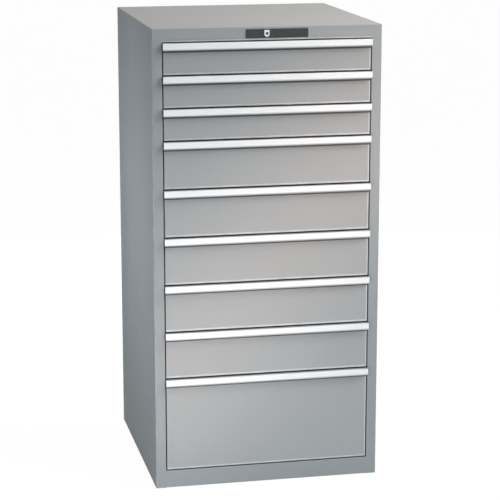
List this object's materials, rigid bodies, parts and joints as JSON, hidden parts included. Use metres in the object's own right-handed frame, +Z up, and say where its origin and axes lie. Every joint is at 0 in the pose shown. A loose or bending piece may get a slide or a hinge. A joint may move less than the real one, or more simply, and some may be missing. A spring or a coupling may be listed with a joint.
{
  "type": "workshop drawer cabinet",
  "caption": "Free-standing steel drawer cabinet on a plinth, with full-width label handles, roller slides and a central lock in the header.",
  "frame": {"origin": "on the floor, under the middle of the whole cabinet with its handles", "axes": "+Z up, -Y out of the front, towards whoever opens a drawer, +X to that person's right"},
  "size_m": [0.717, 0.741, 1.45],
  "materials": {
    "housing_paint": "light grey satin powder coat, fine texture",
    "front_paint": "light grey satin powder coat, fine texture",
    "tray_steel": "light grey powder-coated steel sheet",
    "rail_steel": "bright zinc-plated steel",
    "carriage_steel": "zinc-plated strip with hardened rollers",
    "handle_aluminium": "satin anodised aluminium",
    "label_white": "white label strip, blank",
    "lock_black": "dark grey moulded plastic, fine grain",
    "lock_chrome": "bright chrome",
    "lock_steel": "zinc-plated steel"
  },
  "bodies": {
    "housing": {"side_panel_right": "housing_paint", "side_panel_left": "housing_paint", "back_panel": "housing_paint", "top_panel": "housing_paint", "base_panel": "housing_paint", "front_header": "housing_paint", "corner_posts": "rail_steel", "fixed_rails_right": "rail_steel", "fixed_rails_left": "rail_steel", "lock_channel": "rail_steel", "lock_plate": "lock_black", "lock_rosette": "lock_chrome"},
    "lock_cylinder": {"lock_cylinder": "lock_chrome", "lock_rod": "lock_steel"},
    "lock_bar": {"lock_bar": "lock_steel"},
    "drawer_1": {"drawer_1_tray": "tray_steel", "drawer_1_front": "front_paint", "drawer_1_handle": "handle_aluminium", "drawer_1_label": "label_white"},
    "carriage_1": {"drawer_1_carriage": "carriage_steel"},
    "drawer_2": {"drawer_2_tray": "tray_steel", "drawer_2_front": "front_paint", "drawer_2_handle": "handle_aluminium", "drawer_2_label": "label_white"},
    "carriage_2": {"drawer_2_carriage": "carriage_steel"},
    "drawer_3": {"drawer_3_tray": "tray_steel", "drawer_3_front": "front_paint", "drawer_3_handle": "handle_aluminium", "drawer_3_label": "label_white"},
    "carriage_3": {"drawer_3_carriage": "carriage_steel"},
    "drawer_4": {"drawer_4_tray": "tray_steel", "drawer_4_front": "front_paint", "drawer_4_handle": "handle_aluminium", "drawer_4_label": "label_white"},
    "carriage_4": {"drawer_4_carriage": "carriage_steel"},
    "drawer_5": {"drawer_5_tray": "tray_steel", "drawer_5_front": "front_paint", "drawer_5_handle": "handle_aluminium", "drawer_5_label": "label_white"},
    "carriage_5": {"drawer_5_carriage": "carriage_steel"},
    "drawer_6": {"drawer_6_tray": "tray_steel", "drawer_6_front": "front_paint", "drawer_6_handle": "handle_aluminium", "drawer_6_label": "label_white"},
    "carriage_6": {"drawer_6_carriage": "carriage_steel"},
    "drawer_7": {"drawer_7_tray": "tray_steel", "drawer_7_front": "front_paint", "drawer_7_handle": "handle_aluminium", "drawer_7_label": "label_white"},
    "carriage_7": {"drawer_7_carriage": "carriage_steel"},
    "drawer_8": {"drawer_8_tray": "tray_steel", "drawer_8_front": "front_paint", "drawer_8_handle": "handle_aluminium", "drawer_8_label": "label_white"},
    "carriage_8": {"drawer_8_carriage": "carriage_steel"},
    "drawer_9": {"drawer_9_tray": "tray_steel", "drawer_9_front": "front_paint", "drawer_9_handle": "handle_aluminium", "drawer_9_label": "label_white"},
    "carriage_9": {"drawer_9_carriage": "carriage_steel"}
  },
  "joints": [
    {"name": "drawer_1_slide", "type": "slide", "parent": "housing", "child": "drawer_1", "axis": [0, -1, 0], "range_m": [0, 0.6]},
    {"name": "carriage_1_slide", "type": "slide", "parent": "housing", "child": "carriage_1", "axis": [0, -1, 0], "range_m": [0, 0.3]},
    {"name": "drawer_2_slide", "type": "slide", "parent": "housing", "child": "drawer_2", "axis": [0, -1, 0], "range_m": [0, 0.6]},
    {"name": "carriage_2_slide", "type": "slide", "parent": "housing", "child": "carriage_2", "axis": [0, -1, 0], "range_m": [0, 0.3]},
    {"name": "drawer_3_slide", "type": "slide", "parent": "housing", "child": "drawer_3", "axis": [0, -1, 0], "range_m": [0, 0.6]},
    {"name": "carriage_3_slide", "type": "slide", "parent": "housing", "child": "carriage_3", "axis": [0, -1, 0], "range_m": [0, 0.3]},
    {"name": "drawer_4_slide", "type": "slide", "parent": "housing", "child": "drawer_4", "axis": [0, -1, 0], "range_m": [0, 0.6]},
    {"name": "carriage_4_slide", "type": "slide", "parent": "housing", "child": "carriage_4", "axis": [0, -1, 0], "range_m": [0, 0.3]},
    {"name": "drawer_5_slide", "type": "slide", "parent": "housing", "child": "drawer_5", "axis": [0, -1, 0], "range_m": [0, 0.6]},
    {"name": "carriage_5_slide", "type": "slide", "parent": "housing", "child": "carriage_5", "axis": [0, -1, 0], "range_m": [0, 0.3]},
    {"name": "drawer_6_slide", "type": "slide", "parent": "housing", "child": "drawer_6", "axis": [0, -1, 0], "range_m": [0, 0.6]},
    {"name": "carriage_6_slide", "type": "slide", "parent": "housing", "child": "carriage_6", "axis": [0, -1, 0], "range_m": [0, 0.3]},
    {"name": "drawer_7_slide", "type": "slide", "parent": "housing", "child": "drawer_7", "axis": [0, -1, 0], "range_m": [0, 0.6]},
    {"name": "carriage_7_slide", "type": "slide", "parent": "housing", "child": "carriage_7", "axis": [0, -1, 0], "range_m": [0, 0.3]},
    {"name": "drawer_8_slide", "type": "slide", "parent": "housing", "child": "drawer_8", "axis": [0, -1, 0], "range_m": [0, 0.6]},
    {"name": "carriage_8_slide", "type": "slide", "parent": "housing", "child": "carriage_8", "axis": [0, -1, 0], "range_m": [0, 0.3]},
    {"name": "drawer_9_slide", "type": "slide", "parent": "housing", "child": "drawer_9", "axis": [0, -1, 0], "range_m": [0, 0.6]},
    {"name": "carriage_9_slide", "type": "slide", "parent": "housing", "child": "carriage_9", "axis": [0, -1, 0], "range_m": [0, 0.3]},
    {"name": "lock_turn", "type": "hinge", "parent": "housing", "child": "lock_cylinder", "pos_m": [-0.0043, -0.3545, 1.4295], "axis": [0, 1, 0], "range_deg": [0, 90]},
    {"name": "lock_bar_slide", "type": "slide", "parent": "housing", "child": "lock_bar", "axis": [0, 0, -1], "range_m": [0, 0.02121]}
  ],
  "couplings": [
    {"joint": "carriage_1_slide", "follows": "drawer_1_slide", "ratio": 0.5},
    {"joint": "carriage_2_slide", "follows": "drawer_2_slide", "ratio": 0.5},
    {"joint": "carriage_3_slide", "follows": "drawer_3_slide", "ratio": 0.5},
    {"joint": "carriage_4_slide", "follows": "drawer_4_slide", "ratio": 0.5},
    {"joint": "carriage_5_slide", "follows": "drawer_5_slide", "ratio": 0.5},
    {"joint": "carriage_6_slide", "follows": "drawer_6_slide", "ratio": 0.5},
    {"joint": "carriage_7_slide", "follows": "drawer_7_slide", "ratio": 0.5},
    {"joint": "carriage_8_slide", "follows": "drawer_8_slide", "ratio": 0.5},
    {"joint": "carriage_9_slide", "follows": "drawer_9_slide", "ratio": 0.5},
    {"joint": "lock_turn", "follows": "lock_bar_slide", "rad_per_m": 74.048}
  ]
}
